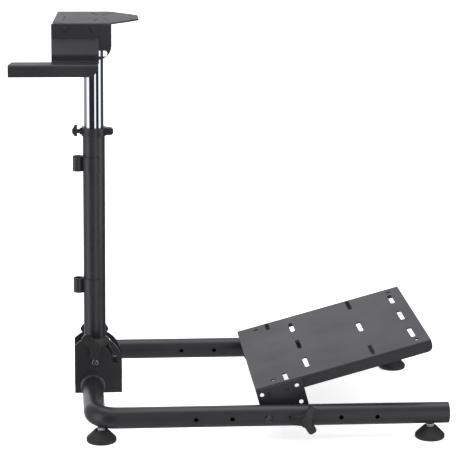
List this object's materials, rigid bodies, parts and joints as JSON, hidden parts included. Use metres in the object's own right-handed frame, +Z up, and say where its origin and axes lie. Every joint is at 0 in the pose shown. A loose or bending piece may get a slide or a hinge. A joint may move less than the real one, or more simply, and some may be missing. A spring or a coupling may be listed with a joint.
{
  "type": "sim racing wheel stand",
  "caption": "Folding tube-frame stand for a sim racing wheel, shifter and pedals, with a telescoping column, a wheel plate, a shifter shelf and a sloping pedal deck.",
  "frame": {"origin": "on the floor under the middle of the object's box", "axes": "+X from the driver towards the pedals, +Y to the driver's left, +Z up"},
  "size_m": [0.818, 0.524, 0.768],
  "materials": {
    "black_steel": "satin black powder coat",
    "plate_steel": "satin black powder coat on sheet",
    "weld": "painted weld bead",
    "chrome": "polished chrome plate",
    "zinc": "bright zinc plate",
    "black_zinc": "black oxide",
    "black_plastic": "fine grained nylon",
    "black_rubber": "moulded rubber"
  },
  "bodies": {
    "base": {"base_tube": "black_steel", "end_caps": "black_plastic", "foot_near_left": "black_rubber", "foot_far_left": "black_rubber", "foot_near_right": "black_rubber", "foot_far_right": "black_rubber", "foot_studs": "zinc", "hinge_cheek_near": "black_steel", "hinge_cheek_far": "black_steel", "hinge_welds": "weld", "pivot_bolt": "zinc", "pedal_pivot_near": "zinc", "pedal_pivot_far": "zinc", "pedal_clamp_near": "zinc", "pedal_clamp_far": "zinc"},
    "column": {"post_tube": "black_steel", "pivot_sleeve": "zinc", "lock_bolt": "zinc", "collar": "black_plastic", "collar_bolt": "zinc", "clip_upper": "black_plastic", "clip_lower": "black_plastic"},
    "head": {"chrome_tube": "chrome", "wheel_head": "plate_steel", "shifter_bracket": "plate_steel", "shifter_bolts": "black_zinc"},
    "pedals": {"pedal_deck": "plate_steel", "pedal_ear_near": "black_steel", "pedal_ear_far": "black_steel", "ear_screws": "black_zinc"},
    "lock_knob_near": {"lock_knob_near": "black_plastic"},
    "lock_knob_far": {"lock_knob_far": "black_plastic"},
    "collar_knob": {"collar_knob": "black_plastic"},
    "pedal_knob_near": {"pedal_knob_near": "black_plastic"},
    "pedal_knob_far": {"pedal_knob_far": "black_plastic"}
  },
  "joints": [
    {"name": "column_fold", "type": "hinge", "parent": "base", "child": "column", "pos_m": [-0.251, 0, 0.098], "axis": [0, 1, 0], "range_deg": [0, 68]},
    {"name": "column_slide", "type": "slide", "parent": "column", "child": "head", "axis": [0, 0, 1], "range_m": [-0.16, 0.12]},
    {"name": "pedal_tilt", "type": "hinge", "parent": "base", "child": "pedals", "pos_m": [0.067, 0, 0.049], "axis": [0, 1, 0], "range_deg": [-8, 4]},
    {"name": "lock_knob_near_turn", "type": "hinge", "parent": "column", "child": "lock_knob_near", "pos_m": [-0.251, -0.04, 0.137], "axis": [0, -1, 0], "range_deg": [-180, 180]},
    {"name": "lock_knob_far_turn", "type": "hinge", "parent": "column", "child": "lock_knob_far", "pos_m": [-0.251, 0.04, 0.137], "axis": [0, 1, 0], "range_deg": [-180, 180]},
    {"name": "collar_knob_turn", "type": "hinge", "parent": "column", "child": "collar_knob", "pos_m": [-0.291, 0, 0.55], "axis": [-1, 0, 0], "range_deg": [-180, 180]},
    {"name": "pedal_knob_near_turn", "type": "hinge", "parent": "base", "child": "pedal_knob_near", "pos_m": [0.135, -0.25, 0.049], "axis": [0, -1, 0], "range_deg": [-180, 180]},
    {"name": "pedal_knob_far_turn", "type": "hinge", "parent": "base", "child": "pedal_knob_far", "pos_m": [0.135, 0.25, 0.049], "axis": [0, 1, 0], "range_deg": [-180, 180]}
  ]
}
